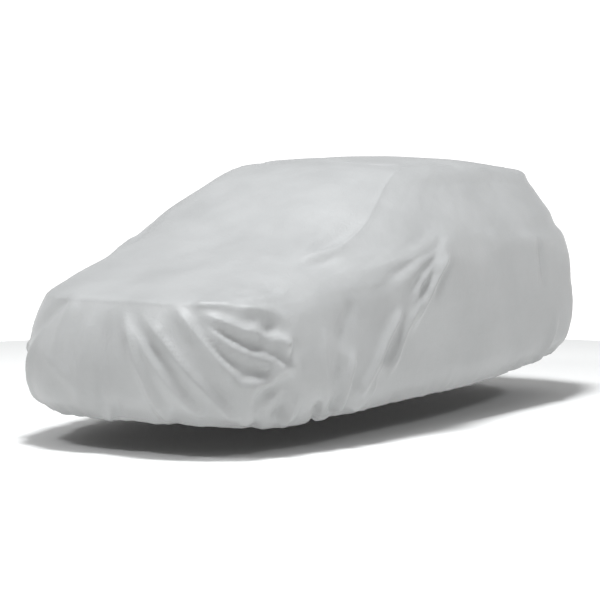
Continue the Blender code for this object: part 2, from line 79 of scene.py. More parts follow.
# ---- folds ----
# A place is the distance round the cover from the middle of its nose, positive to the left-hand
# side, and the level, from 0 at the hem to 11 at the roof. A fold runs on a smooth curve through
# three places. Positive heights are ridges, negative ones troughs. Widths are half-widths. A lean
# towards 1 makes one flank steep and the other long.
FOLD_COLUMNS = ("round_0", "level_0", "round_1", "level_1", "round_2", "level_2",
                "width_0", "width_1", "lean", "height", "fade_0", "fade_1")
FOLDS = {
    # the fan over the nose, from the bonnet edge down and across to the gathered hem
    "nose_hollow":      (-0.08, 3.9, -0.05, 2.1, -0.10, 0.1, 0.034, 0.050, 0.0, -0.016, 0.35, 0.20),
    "nose_upright":     (-0.15, 4.2, -0.18, 2.4, -0.21, 0.5, 0.030, 0.040, 0.2, 0.010, 0.35, 0.25),
    "fan_1":            (0.01, 4.0, 0.19, 2.1, 0.35, 0.1, 0.026, 0.040, 0.4, 0.026, 0.25, 0.12),
    "fan_1_under":      (0.15, 2.4, 0.22, 1.4, 0.30, 0.3, 0.020, 0.028, 0.0, -0.009, 0.35, 0.20),
    "fan_2":            (0.07, 3.6, 0.31, 2.0, 0.55, 0.6, 0.024, 0.034, 0.4, 0.018, 0.30, 0.15),
    "fan_3":            (0.12, 3.9, 0.43, 2.2, 0.70, 0.6, 0.020, 0.032, 0.6, 0.027, 0.25, 0.12),
    "fan_3_under":      (0.20, 3.0, 0.38, 2.2, 0.62, 0.9, 0.018, 0.028, 0.0, -0.010, 0.30, 0.25),
    "fan_4":            (0.30, 4.3, 0.52, 2.85, 0.75, 1.65, 0.024, 0.030, 0.4, 0.024, 0.30, 0.12),
    "fan_short":        (0.20, 4.0, 0.27, 3.4, 0.32, 3.0, 0.018, 0.020, 0.2, 0.008, 0.40, 0.40),
    "fan_valley":       (0.42, 3.8, 0.60, 2.6, 0.80, 2.3, 0.022, 0.026, 0.0, -0.012, 0.30, 0.35),
    "fan_5":            (0.48, 3.6, 0.66, 2.75, 0.86, 2.40, 0.024, 0.034, 0.4, 0.022, 0.30, 0.30),
    "sweep_under":      (0.46, 3.65, 0.70, 2.9, 0.94, 2.55, 0.022, 0.024, 0.0, -0.014, 0.35, 0.30),
    "fan_sweep":        (0.45, 3.9, 0.73, 3.2, 1.01, 2.7, 0.028, 0.036, 0.4, 0.034, 0.25, 0.08),
    "sweep_upper":      (0.55, 4.5, 0.74, 4.0, 0.98, 3.8, 0.024, 0.034, 0.3, 0.011, 0.35, 0.45),
    "edge_crease":      (0.43, 5.0, 0.52, 4.6, 0.70, 5.2, 0.022, 0.034, 0.2, 0.012, 0.30, 0.50),
    "lamp_crinkle":     (0.62, 6.4, 0.76, 6.1, 0.90, 5.6, 0.022, 0.026, 0.0, -0.007, 0.40, 0.40),
    "lamp_crinkle_2":   (0.66, 5.8, 0.76, 5.5, 0.88, 5.1, 0.024, 0.026, 0.0, 0.005, 0.40, 0.40),
    "corner_pad":       (0.77, 2.45, 0.91, 2.35, 0.90, 1.95, 0.024, 0.026, 0.0, 0.020, 0.30, 0.30),
    "corner_pad_under": (0.71, 2.25, 0.79, 2.15, 0.88, 2.15, 0.024, 0.024, 0.0, -0.012, 0.30, 0.35),
    "pucker":           (0.70, 1.95, 0.82, 1.85, 0.94, 1.95, 0.028, 0.028, 0.3, 0.026, 0.30, 0.25),
    "corner_tip":       (0.88, 2.15, 0.98, 2.2, 1.08, 2.3, 0.024, 0.024, 0.2, 0.014, 0.40, 0.40),
    "corner_brink":     (0.95, 1.70, 0.84, 1.5, 0.75, 1.2, 0.036, 0.036, 0.0, -0.024, 0.30, 0.30),
    "corner_bend":      (0.70, 2.1, 0.76, 1.2, 0.73, 0.1, 0.080, 0.110, 0.0, 0.030, 0.35, 0.20),
    "corner_pleat":     (0.76, 1.5, 0.80, 0.9, 0.72, 0.0, 0.020, 0.030, 0.2, -0.022, 0.30, 0.10),
    "corner_pleat_2":   (1.00, 1.3, 0.95, 0.8, 0.87, 0.0, 0.022, 0.028, 0.2, -0.010, 0.45, 0.15),
    "corner_pleat_3":   (1.06, 1.5, 1.01, 0.8, 0.93, 0.0, 0.022, 0.034, 0.3, 0.014, 0.45, 0.20),
    "corner_hollow":    (1.00, 2.2, 0.94, 1.2, 0.90, 0.3, 0.090, 0.110, 0.0, -0.020, 0.40, 0.30),
    "corner_fold_1":    (0.66, 4.3, 0.78, 4.1, 0.92, 4.2, 0.024, 0.028, 0.2, 0.008, 0.40, 0.40),
    "corner_fold_3":    (0.84, 3.1, 0.93, 2.9, 0.98, 2.4, 0.020, 0.024, 0.3, 0.015, 0.40, 0.40),
    "hem_nick":         (0.03, 1.4, 0.02, 0.8, 0.01, 0.1, 0.018, 0.022, 0.0, -0.012, 0.40, 0.15),
    "hem_nick_2":       (-0.02, 1.1, -0.04, 0.5, -0.07, 0.0, 0.018, 0.022, 0.3, 0.013, 0.40, 0.10),
    "right_hollow":     (-0.34, 4.7, -0.46, 3.6, -0.70, 2.7, 0.040, 0.080, 0.0, -0.016, 0.30, 0.45),
    "right_ridge":      (-0.26, 4.5, -0.34, 3.0, -0.36, 1.6, 0.030, 0.060, 0.2, 0.012, 0.30, 0.50),
    "right_crease":     (-0.52, 2.7, -0.32, 2.0, -0.14, 1.2, 0.030, 0.040, 0.2, 0.009, 0.40, 0.40),
    "right_fan":        (-0.48, 3.2, -0.66, 1.6, -0.70, 0.1, 0.030, 0.050, 0.3, 0.016, 0.35, 0.15),
    "right_pleat":      (-0.86, 2.1, -0.90, 1.0, -0.88, 0.0, 0.026, 0.040, 0.0, -0.020, 0.45, 0.05),
    # the foot of the left-hand windscreen pillar
    "pillar_foot":      (0.66, 7.9, 0.78, 8.0, 0.90, 8.7, 0.028, 0.032, 0.0, -0.015, 0.35, 0.35),
    "pillar_foot_2":    (0.68, 7.4, 0.84, 7.5, 0.97, 8.2, 0.026, 0.030, 0.2, 0.014, 0.35, 0.35),
    "pillar_foot_3":    (0.74, 7.0, 0.87, 7.1, 0.99, 7.5, 0.026, 0.030, 0.0, -0.011, 0.35, 0.35),
    # the left-hand side, down and forward from the door mirror
    "wing_hollow_up":   (2.05, 7.7, 1.66, 7.6, 1.50, 6.8, 0.040, 0.060, 0.0, -0.014, 0.40, 0.45),
    "mirror_trough":    (2.12, 7.4, 1.86, 6.0, 1.62, 4.2, 0.028, 0.060, 0.1, -0.016, 0.25, 0.45),
    "door_trough":      (2.16, 6.6, 2.02, 5.0, 1.86, 3.2, 0.022, 0.038, 0.2, -0.015, 0.25, 0.40),
    "door_ridge_2":     (2.13, 5.4, 2.00, 4.1, 1.93, 3.2, 0.018, 0.022, 0.2, 0.014, 0.30, 0.40),
    "door_trough_2":    (2.20, 5.6, 2.03, 4.0, 1.94, 3.0, 0.022, 0.026, 0.0, -0.016, 0.30, 0.40),
    "door_ridge":       (2.29, 6.1, 2.12, 4.2, 1.96, 2.4, 0.028, 0.032, 0.2, 0.034, 0.25, 0.20),
    "door_back":        (2.36, 5.6, 2.22, 4.2, 2.18, 3.2, 0.024, 0.040, 0.0, -0.012, 0.35, 0.40),
    "thin_ridge":       (2.03, 3.9, 1.92, 2.7, 1.78, 1.4, 0.022, 0.024, 0.0, 0.026, 0.20, 0.25),
    "long_ridge":       (1.89, 3.5, 1.70, 2.2, 1.47, 0.9, 0.024, 0.030, 0.0, 0.034, 0.22, 0.16),
    "long_under":       (1.82, 2.4, 1.71, 1.7, 1.60, 1.3, 0.024, 0.026, 0.0, -0.020, 0.35, 0.35),
    "low_ridge":        (1.80, 2.1, 1.63, 1.3, 1.45, 0.1, 0.024, 0.028, 0.0, 0.030, 0.20, 0.12),
    "sill_nick":        (1.50, 0.7, 1.45, 0.5, 1.41, 0.3, 0.018, 0.020, 0.2, 0.010, 0.40, 0.40),
    "wing_hollow":      (1.47, 4.2, 1.40, 3.2, 1.35, 2.3, 0.050, 0.066, 0.0, -0.016, 0.35, 0.35),
    "arch_dimple":      (1.30, 2.5, 1.35, 2.0, 1.30, 1.6, 0.018, 0.022, 0.0, -0.013, 0.40, 0.40),
    "arch_ridge":       (1.49, 2.6, 1.41, 1.6, 1.33, 0.2, 0.022, 0.026, 0.2, 0.028, 0.35, 0.16),
    "arch_under":       (1.52, 2.1, 1.45, 1.3, 1.38, 0.4, 0.018, 0.024, 0.0, -0.012, 0.35, 0.30),
    "wing_upright":     (1.22, 3.2, 1.24, 2.2, 1.28, 0.7, 0.022, 0.030, 0.0, 0.011, 0.35, 0.30),
    "arch_fall":        (1.36, 1.6, 1.31, 0.9, 1.28, 0.1, 0.018, 0.026, 0.0, -0.013, 0.40, 0.15),
    "arch_nick":        (1.19, 1.3, 1.195, 0.6, 1.19, 0.0, 0.018, 0.022, 0.0, -0.026, 0.40, 0.05),
    "belt_left":        (2.75, 6.2, 3.35, 5.7, 3.98, 4.9, 0.060, 0.080, 0.2, 0.010, 0.30, 0.35),
    "back_crease":      (3.67, 5.6, 3.61, 4.0, 3.61, 2.8, 0.018, 0.024, 0.0, -0.011, 0.35, 0.40),
    "sill_wave":        (2.35, 1.5, 2.80, 1.3, 3.30, 1.5, 0.060, 0.080, 0.3, 0.008, 0.40, 0.40),
    # across the tail, from the corners of the roof hatch down to the hem
    "tail_fan":         (4.34, 4.9, 4.55, 2.4, 4.82, 0.2, 0.030, 0.050, 0.4, 0.024, 0.30, 0.15),
    "tail_fan_2":       (4.62, 4.4, 4.80, 2.6, 5.02, 0.9, 0.026, 0.044, 0.4, 0.018, 0.30, 0.25),
    "tail_fan_3":       (5.86, 4.7, 5.62, 2.5, 5.36, 0.3, 0.030, 0.050, 0.5, 0.026, 0.30, 0.15),
    "tail_fan_4":       (5.50, 4.2, 5.40, 2.8, 5.22, 1.3, 0.026, 0.040, 0.4, 0.016, 0.30, 0.30),
    "tail_hollow":      (4.16, 3.9, 4.24, 2.2, 4.20, 0.3, 0.034, 0.056, 0.0, -0.022, 0.35, 0.20),
    "tail_hollow_2":    (6.02, 3.6, 5.96, 2.0, 6.02, 0.2, 0.034, 0.052, 0.0, -0.024, 0.35, 0.15),
    "tail_sag":         (4.60, 6.6, 5.10, 6.0, 5.62, 6.7, 0.050, 0.050, 0.3, 0.012, 0.35, 0.35),
    "back_arch":        (3.84, 2.4, 3.72, 1.3, 3.66, 0.1, 0.026, 0.036, 0.3, 0.016, 0.40, 0.15),
}
# Folds of the left-hand side that the right-hand mirror draws too: how far each lies behind its
# twin, and its height as a share of it.
TWIN_COLUMNS = ("name", "behind", "share")
TWINS = (
    ("lamp_crinkle", 0.03, 0.7), ("corner_pad", -0.05, 0.8), ("corner_pleat_2", 0.06, 0.9),
    ("corner_pleat_3", 0.04, 0.8), ("pillar_foot", 0.04, 0.9), ("pillar_foot_2", 0.03, 0.8),
    ("wing_hollow_up", 0.02, 0.8), ("mirror_trough", 0.05, 1.1), ("door_trough", -0.02, 0.8),
    ("door_ridge", 0.06, 0.9), ("thin_ridge", -0.04, 1.0), ("long_ridge", 0.09, 0.8),
    ("long_under", 0.07, 0.7), ("low_ridge", -0.05, 0.9), ("wing_hollow", 0.08, 0.8),
    ("arch_ridge", 0.05, 0.9), ("wing_upright", -0.06, 1.1), ("arch_nick", 0.09, 0.8),
    ("belt_left", -0.07, 1.0), ("back_crease", -0.10, 1.0), ("back_arch", 0.12, 0.9),
)
# How a fold is drawn: the steps of its curve, how far off it still counts (in widths), how much
# deeper and narrower than the table it is, its least width, its greatest height (in widths), how
# round its crest is, the power that shapes its flanks and how much a lean changes their width.
FOLD_STEPS = 14
FOLD_REACH = 5.0
FOLD_DEPTH = 1.4
FOLD_SPREAD = 0.80
LEAST_WIDTH = 0.021
STEEPEST = 1.5
CREST_ROUNDING = 0.012
FLANK_POWER = 1.35
LEAN_SHIFT = 0.4
# Which ridges have a crest line: the least height, and the height from which it is at full
# strength. How far off a crest is still noted, over what distance its line fades off before that,
# and how far apart two crests are when both lines are at full strength.
CREST_LEAST = 0.013
CREST_FULL = 0.028
CREST_REACH = 0.045
CREST_CLEAR = 0.024
CREST_APART = 0.0624

# The line where the cloth bends over the roof rail and the pillars, as places.
RAIL_COLUMNS = ("round", "level")
RAIL = {
    "pillar_foot": (0.91, 7.8), "pillar_low": (0.93, 8.3), "pillar_middle": (0.97, 8.8),
    "pillar_high": (1.01, 9.4), "pillar_top": (1.05, 9.8), "rail_bend": (1.12, 10.05),
    "rail_front": (1.30, 10.4), "rail_door": (1.61, 10.5), "rail_middle": (2.29, 10.3),
    "rail_back": (2.74, 9.9), "rail_end": (3.37, 9.6), "hatch_high": (3.58, 8.8),
    "hatch_middle": (3.77, 8.0), "hatch_low": (3.82, 6.8),
}
RAIL_WIDTH = 0.018
RAIL_HEIGHT = 0.006
RAIL_FADE = 0.04
RAIL_FADE_FROM = 0.70

# Elastic in the hem draws it into small upright gathers: stretches of hem and how many in each.
GATHER_COLUMNS = ("round_0", "round_1", "count")
GATHERS = {
    "nose": (-0.85, 0.85, 15), "left_wheel": (0.95, 1.60, 6), "left_sill": (1.8, 3.4, 7),
    "left_back": (3.5, 4.1, 5), "tail": (4.2, 6.0, 17), "right_back": (6.1, 6.8, 6),
    "right_sill": (6.9, 8.5, 7), "right_wheel": (8.6, 9.25, 6),
}
GATHER_SEED = 31
GATHER_SLANT = 0.06
GATHER_TOPS = (0.5, 1.5)
GATHER_HEIGHTS = (0.002, 0.006)
GATHER_FOOT = -0.1
GATHER_BOW = 0.01
GATHER_WIDTHS = (0.014, 0.022)
GATHER_FADES = (0.6, 0.02)
# The turned hem is a little thicker than the cloth above it, up to the level HEM_BAND.
HEM_BAND = 0.21
HEM_STEP = 0.0012

# Where the hem hangs lower than its level, or is drawn up (negative): place, reach and drop.
SAG_COLUMNS = ("round", "reach", "drop")
SAGS = {"front_left": (0.94, 0.30, 0.026), "front_right": (9.30, 0.34, -0.030),
        "left_back": (4.0, 0.35, -0.008), "tail": (5.3, 0.50, 0.010)}
SAG_LEVELS = 1.6

# Spots where loose cloth is crumpled into small sharp facets: the middle of each, how far it
# reaches round the cover and in levels, how deep it is and how many facets a metre has.
# CRUMPLE_FALL is how steeply a facet falls from its edge; a spot ends at the share CRUMPLE_LEAST.
CRUMPLE_FALL = 4.0
CRUMPLE_LEAST = 0.02
CRUMPLE_COLUMNS = ("round", "level", "round_reach", "level_reach", "height", "facets")
CRUMPLES = {
    "left_corner":  (0.86, 2.9, 0.15, 1.2, 0.013, 9.0),
    "left_lamp":    (0.78, 5.4, 0.16, 0.9, 0.006, 9.0),
    "left_pleats":  (0.92, 0.9, 0.12, 0.9, 0.008, 9.0),
    "right_corner": (9.36, 2.6, 0.16, 1.3, 0.008, 8.0),
    "left_mirror":  (2.05, 5.6, 0.18, 1.1, 0.004, 8.0),
    "right_mirror": (8.10, 5.4, 0.22, 1.2, 0.006, 8.0),
    "left_tail":    (4.26, 2.4, 0.14, 1.3, 0.008, 8.0),
    "right_tail":   (5.94, 3.0, 0.15, 1.4, 0.008, 8.0),
}

# Slow unevenness of the loose cloth: how tall it is and how many waves it has in a metre.
# WAVE_APART keeps one kind of wave from repeating another.
WAVE_APART = 17.0
WAVE_COLUMNS = ("height", "round_waves", "up_waves", "from_level", "to_level")
WAVES = {
    "lower_cloth": (0.006, 1.8, 1.4, 0.0, 5.5),
    "lower_fine":  (0.0018, 6.0, 4.5, -1.0, 6.0),
    "upper_cloth": (0.007, 1.8, 1.8, 4.5, 13.0),
    "upper_fine":  (0.0018, 7.0, 7.0, 4.0, 13.0),
}

# Each door mirror holds the cloth off the body like a tent pole: how far it pushes it sideways,
# where its tip is along the car and above the ground, how far the tent reaches, how round its tip
# is and how fast it falls away. It only moves cloth that faces sideways.
MIRROR_PUSH = 0.14
MIRROR_Y = -0.24
MIRROR_Z = 1.02
TENT_AHEAD = 0.75
TENT_BEHIND = 1.10
TENT_UP = 0.38
TENT_DOWN = 0.55
TENT_ROUNDING = 0.09
TENT_FALL = 1.6
SIDE_SHARE = 2.0


def named(columns, row):
    """One table row as a dictionary."""
    return dict(zip(columns, row))


def ease(share):
    """A smooth step from 0 to 1."""
    share = np.clip(share, 0.0, 1.0)
    return share * share * (3.0 - 2.0 * share)


def half_ring(level, end_posts, side_posts):
    """The left half of one level, from the middle of the nose to the middle of the tail."""
    half, middle = level["half"], level["middle"]
    ahead, behind = middle - level["front"], level["rear"] - middle
    nose, tail = level["nose"], level["tail"]
    corner_front = middle - ahead * 0.5 ** (1.0 / nose)
    corner_back = middle + behind * 0.5 ** (1.0 / tail)

    out = np.arange(end_posts + 1) / end_posts
    x = half * 0.5 ** (1.0 / nose) * out
    y = middle - ahead * (1.0 - (x / half) ** nose) ** (1.0 / nose)
    z = level["z_nose"] + (level["z_corner"] - level["z_nose"]) * out ** 2
    front = np.stack([x, y, z], axis=1)

    along = (np.arange(1, side_posts + 1) / side_posts) ** POST_CROWDING
    y = corner_front + (corner_back - corner_front) * along
    reach = np.where(y < middle, ahead, behind)
    power = np.where(y < middle, nose, tail)
    x = half * (1.0 - np.abs((y - middle) / reach) ** power) ** (1.0 / power)
    first = level["z_corner"] + (level["z_side"] - level["z_corner"]) * ease(2.0 * along)
    second = level["z_side"] + (level["z_back"] - level["z_side"]) * ease(2.0 * along - 1.0)
    side = np.stack([x, y, np.where(along < 0.5, first, second)], axis=1)

    inward = 1.0 - np.arange(1, end_posts + 1) / end_posts
    x = half * 0.5 ** (1.0 / tail) * inward
    y = middle + behind * (1.0 - (x / half) ** tail) ** (1.0 / tail)
    z = level["z_tail"] + (level["z_back"] - level["z_tail"]) * inward ** 2
    return np.concatenate([front, side, np.stack([x, y, z], axis=1)])


def ring(level, end_posts, side_posts):
    """One level all the way round, from the middle of the nose by the left-hand side."""
    left = half_ring(level, end_posts, side_posts)
    right = left[1:-1][::-1] * [-1.0, 1.0, 1.0]
    return np.concatenate([left, right])


def between_levels(rings, place):
    """The cloth at a level number that may lie between two rows, on a smooth curve."""
    index = int(np.clip(place, 0, len(rings) - 2))
    before, after = rings[max(index - 1, 0)], rings[min(index + 2, len(rings) - 1)]
    low, high = rings[index], rings[index + 1]
    gaps = [np.linalg.norm(b - a, axis=1).mean() + SMALLEST_GAP
            for a, b in ((before, low), (low, high), (high, after))]
    if index == 0:
        gaps[0] = gaps[1]
        before = 2.0 * low - high
    if index + 2 > len(rings) - 1:
        gaps[2] = gaps[1]
        after = 2.0 * high - low
    slope_low = ((low - before) / gaps[0] * gaps[1] + (high - low) / gaps[1] * gaps[0]) \
        / (gaps[0] + gaps[1])
    slope_high = ((high - low) / gaps[1] * gaps[2] + (after - high) / gaps[2] * gaps[1]) \
        / (gaps[1] + gaps[2])
    t = place - index
    return (low * (2 * t ** 3 - 3 * t ** 2 + 1) + slope_low * gaps[1] * (t ** 3 - 2 * t ** 2 + t)
            + high * (3 * t ** 2 - 2 * t ** 3) + slope_high * gaps[1] * (t ** 3 - t ** 2))


class BareForm:
    """The cover without folds, as a smooth surface that can be read at any place."""

    def __init__(self, end_posts, side_posts):
        self.rings = [ring(named(LEVEL_COLUMNS, row), end_posts, side_posts)
                      for row in LEVELS.values()]
        self.top = len(self.rings) - 1
        waist = self.rings[list(LEVELS).index("waist")]
        steps = np.linalg.norm(np.roll(waist, -1, axis=0) - waist, axis=1)
        self.round = np.concatenate([[0.0], np.cumsum(steps)])

    def row(self, place):
        """All posts of the cover at one level number."""
        return between_levels(self.rings, place)

    def at(self, distance, place):
        """The point at a distance round the cover and a level number."""
        posts = self.row(place)
        post = np.interp(distance % self.round[-1], self.round, np.arange(len(posts) + 1))
        low = int(post) % len(posts)
        share = post - int(post)
        return posts[low] * (1.0 - share) + posts[(low + 1) % len(posts)] * share


def roof_patch(rim, end_posts, side_posts):
    """The inside of the roof, stretched between the four sides of its rim and slightly crowned."""
    wide, long = 2 * end_posts, side_posts
    count = len(rim)
    front = rim[np.arange(-end_posts, end_posts + 1) % count]
    left = rim[np.arange(end_posts, end_posts + long + 1) % count]
    back = rim[np.arange(end_posts + long + wide, end_posts + long - 1, -1) % count]
    right = rim[np.arange(count - end_posts, count - end_posts - long - 1, -1) % count]
    u = np.linspace(0.0, 1.0, wide + 1)[:, None, None]
    v = np.linspace(0.0, 1.0, long + 1)[None, :, None]
    sides = (1 - u) * right[None, :, :] + u * left[None, :, :]
    ends = (1 - v) * front[:, None, :] + v * back[:, None, :]
    corners = ((1 - u) * (1 - v) * front[0] + u * (1 - v) * front[-1]
               + (1 - u) * v * back[0] + u * v * back[-1])
    patch = sides + ends - corners
    patch[:, :, 2] += ROOF_CROWN * (4 * u * (1 - u) * 4 * v * (1 - v))[:, :, 0] ** 0.5
    return patch


def sheet_faces(rows, patch_ends, patch_sides):
    """Points and faces of the whole sheet: a fine lower zone, a coarser upper one, the roof."""
    points = np.concatenate(rows)
    starts = np.cumsum([0] + [len(row) for row in rows])
    faces = []
    for low in range(len(rows) - 1):
        high = low + 1
        count_low, count_high = len(rows[low]), len(rows[high])
        step = count_low // count_high
        for post in range(count_high):
            lower = [starts[low] + (post * step + k) % count_low for k in range(step + 1)]
            upper = [starts[high] + (post + 1) % count_high, starts[high] + post]
            if step == 1:
                faces.append(lower + upper)
            else:
                faces += [[lower[0], lower[1], upper[1]], [lower[1], upper[0], upper[1]],
                          [lower[1], lower[2], upper[0]]]

    rim = rows[-1]
    patch = roof_patch(rim, patch_ends, patch_sides)
    wide, long = 2 * patch_ends, patch_sides
    grid = np.zeros((wide + 1, long + 1), dtype=int)
    inside = patch[1:-1, 1:-1].reshape(-1, 3)
    grid[1:-1, 1:-1] = len(points) + np.arange(len(inside)).reshape(wide - 1, long - 1)
    count, start = len(rim), starts[-2]
    grid[:, 0] = start + np.arange(-patch_ends, patch_ends + 1) % count
    grid[-1, :] = start + np.arange(patch_ends, patch_ends + long + 1)
    grid[:, -1] = start + np.arange(patch_ends + long + wide, patch_ends + long - 1, -1)
    grid[0, :] = start + np.arange(count - patch_ends, count - patch_ends - long - 1, -1)
    for i in range(wide):
        for j in range(long):
            faces.append([grid[i, j], grid[i + 1, j], grid[i + 1, j + 1], grid[i, j + 1]])
    return np.concatenate([points, inside]), [[int(i) for i in face] for face in faces]


def along_path(points, path):
    """Each point's distance from a path, its place along it from 0 to 1, the way to it from the
    path, and the path's direction there."""
    nearest = np.full(len(points), np.inf)
    place = np.zeros(len(points))
    gaps = np.zeros((len(points), 3))
    runs = np.zeros((len(points), 3))
    for step in range(len(path) - 1):
        start, run = path[step], path[step + 1] - path[step]
        part = np.clip((points - start) @ run / (run @ run), 0.0, 1.0)
        gap = points - start - part[:, None] * run
        distance = np.linalg.norm(gap, axis=1)
        closer = distance < nearest
        nearest[closer] = distance[closer]
        place[closer] = (step + part[closer]) / (len(path) - 1)
        gaps[closer] = gap[closer]
        runs[closer] = run
    return nearest, place, gaps, runs


def fold_lift(points, normals, form, fold):
    """Which points one fold reaches, how far it lifts them, how far off its line they lie, and
    how far it has risen there."""
    t = np.linspace(0.0, 1.0, FOLD_STEPS + 1)
    first, middle, last = 2 * (t - 0.5) * (t - 1), 4 * t * (1 - t), 2 * t * (t - 0.5)
    rounds = fold["round_0"] * first + fold["round_1"] * middle + fold["round_2"] * last
    levels = fold["level_0"] * first + fold["level_1"] * middle + fold["level_2"] * last
    path = np.array([form.at(r, l) for r, l in zip(rounds, levels)])

    reach = FOLD_REACH * max(fold["width_0"], fold["width_1"])
    inside = (points > path.min(axis=0) - reach) & (points < path.max(axis=0) + reach)
    near = np.all(inside, axis=1)
    distance, place, gaps, runs = along_path(points[near], path)
    side = np.sign((gaps * np.cross(runs, normals[near])).sum(axis=1))
    width = fold["width_0"] + (fold["width_1"] - fold["width_0"]) * place
    width = np.maximum(FOLD_SPREAD * width, LEAST_WIDTH)
    width = width * (1.0 + LEAN_SHIFT * fold["lean"] * side)
    rise = ease(place / fold["fade_0"]) * ease((1.0 - place) / fold["fade_1"])
    away = np.sqrt(distance ** 2 + CREST_ROUNDING ** 2) - CREST_ROUNDING
    steepest = STEEPEST * max(FOLD_SPREAD * fold["width_0"], LEAST_WIDTH)
    height = np.clip(FOLD_DEPTH * fold["height"], -steepest, steepest)
    lift = height * rise * np.exp(-(away / width) ** FLANK_POWER)
    return near, lift, distance * side, rise


class Lifts:
    """What all folds do to the sheet: how far they lift it, and where their crests run."""

    def __init__(self, points, normals, form):
        self.lift = np.zeros(len(points))
        self.crest_gap = np.full(len(points), CREST_REACH)
        self.next_gap = np.full(len(points), CREST_REACH)
        self.crest = np.zeros(len(points))
        for fold in all_folds():
            near, lift, gap, rise = fold_lift(points, normals, form, fold)
            self.lift[near] += lift
            if fold["height"] < CREST_LEAST:
                continue
            before = np.abs(self.crest_gap[near])
            closer = np.abs(gap) < before
            farther = np.where(closer, before, np.abs(gap))
            self.next_gap[near] = np.minimum(self.next_gap[near], farther)
            spots = np.nonzero(near)[0][closer]
            self.crest_gap[spots] = gap[closer]
            self.crest[spots] = rise[closer] * min(fold["height"] / CREST_FULL, 1.0)
        nearest = np.abs(self.crest_gap)
        self.crest *= np.clip((CREST_REACH - nearest) / CREST_CLEAR, 0.0, 1.0)
        self.crest *= ease((self.next_gap - nearest) / CREST_APART)


def all_folds():
    """Every fold: the table, the right-hand twins and the gathers that the elastic makes."""
    folds = [named(FOLD_COLUMNS, row) for row in FOLDS.values()]
    for row in TWINS:
        twin = named(TWIN_COLUMNS, row)
        fold = named(FOLD_COLUMNS, FOLDS[twin["name"]])
        for key in ("round_0", "round_1", "round_2"):
            fold[key] = -(fold[key] + twin["behind"])
        fold["lean"] = -fold["lean"]
        fold["height"] = fold["height"] * twin["share"]
        folds.append(fold)
    chance = random.Random(GATHER_SEED)
    for row in GATHERS.values():
        stretch = named(GATHER_COLUMNS, row)
        gap = (stretch["round_1"] - stretch["round_0"]) / stretch["count"]
        for number in range(stretch["count"]):
            foot = stretch["round_0"] + gap * (number + chance.uniform(0.1, 0.9))
            head = foot + chance.uniform(-GATHER_SLANT, GATHER_SLANT)
            top = chance.uniform(*GATHER_TOPS)
            height = chance.uniform(*GATHER_HEIGHTS) * chance.choice((-1, 1, 1))
            folds.append(named(FOLD_COLUMNS, (
                head, top, (head + foot) / 2 + GATHER_BOW, top / 2, foot, GATHER_FOOT,
                *GATHER_WIDTHS, 0.0, height, *GATHER_FADES)))
    return folds


def waves(places, levels):
    """Slow unevenness of the cloth, from smooth noise that follows its own directions."""
    lift = np.zeros(len(places))
    for number, row in enumerate(WAVES.values()):
        wave = named(WAVE_COLUMNS, row)
        share = ease(levels - wave["from_level"]) * ease(wave["to_level"] - levels)
        for point in np.nonzero(share > 0)[0]:
            angle = places[point, 0] / ROUND_LENGTH * 2 * math.pi
            radius = ROUND_LENGTH / (2 * math.pi) * wave["round_waves"]
            where = Vector((radius * math.cos(angle), radius * math.sin(angle),
                            places[point, 1] * wave["up_waves"] + WAVE_APART * number))
            lift[point] += wave["height"] * share[point] * noise.noise(where)
    return lift


def mirror_tent(points):
    """How far sideways the door mirrors push each point of the cloth."""
    along = points[:, 1] - MIRROR_Y
    above = points[:, 2] - MIRROR_Z
    along = along / np.where(along < 0, TENT_AHEAD, TENT_BEHIND)
    above = above / np.where(above < 0, TENT_DOWN, TENT_UP)
    away = np.sqrt(along ** 2 + above ** 2 + TENT_ROUNDING ** 2) - TENT_ROUNDING
    slack = np.clip(1.0 - away, 0.0, 1.0)
    return np.sign(points[:, 0]) * MIRROR_PUSH * slack ** TENT_FALL


def crumples(points, places, levels):
    """Small sharp facets where the cloth is crumpled."""
    lift = np.zeros(len(points))
    for row in CRUMPLES.values():
        spot = named(CRUMPLE_COLUMNS, row)
        off = ((places[:, 0] - spot["round"]) / spot["round_reach"]) ** 2
        off += ((levels - spot["level"]) / spot["level_reach"]) ** 2
        share = np.exp(-off)
        for point in np.nonzero(share > CRUMPLE_LEAST)[0]:
            fold = noise.noise(Vector(points[point]) * spot["facets"])
            lift[point] += spot["height"] * share[point] * (1.0 - CRUMPLE_FALL * abs(fold))
    return lift


def rail_gap(points, form):
    """Each point's distance from the line where the cloth bends over the rail and pillars."""
    gap = np.full(len(points), 1.0)
    for hand in (1.0, -1.0):
        path = np.array([form.at(hand * r, l) for r, l in RAIL.values()])
        distance, place = along_path(points, path)[:2]
        beyond = ease((place - RAIL_FADE_FROM) / (1.0 - RAIL_FADE_FROM))
        gap = np.minimum(gap, distance + RAIL_FADE * beyond)
    return gap


def cloth_places(rows, levels, form):
    """Distance round the cover and distance up from the hem, for every post of every row."""
    places, posts_levels = [], []
    up = np.zeros(len(rows[0]))
    before = rows[0]
    for row, level in zip(rows, levels):
        if len(row) != len(before):
            up, before = up[::2], before[::2]
        up = up + np.linalg.norm(row - before, axis=1)
        before = row
        around = form.round[:-1:len(rows[0]) // len(row)]
        places.append(np.stack([around, up], axis=1))
        posts_levels.append(np.full(len(row), level))
    return np.concatenate(places), np.concatenate(posts_levels)


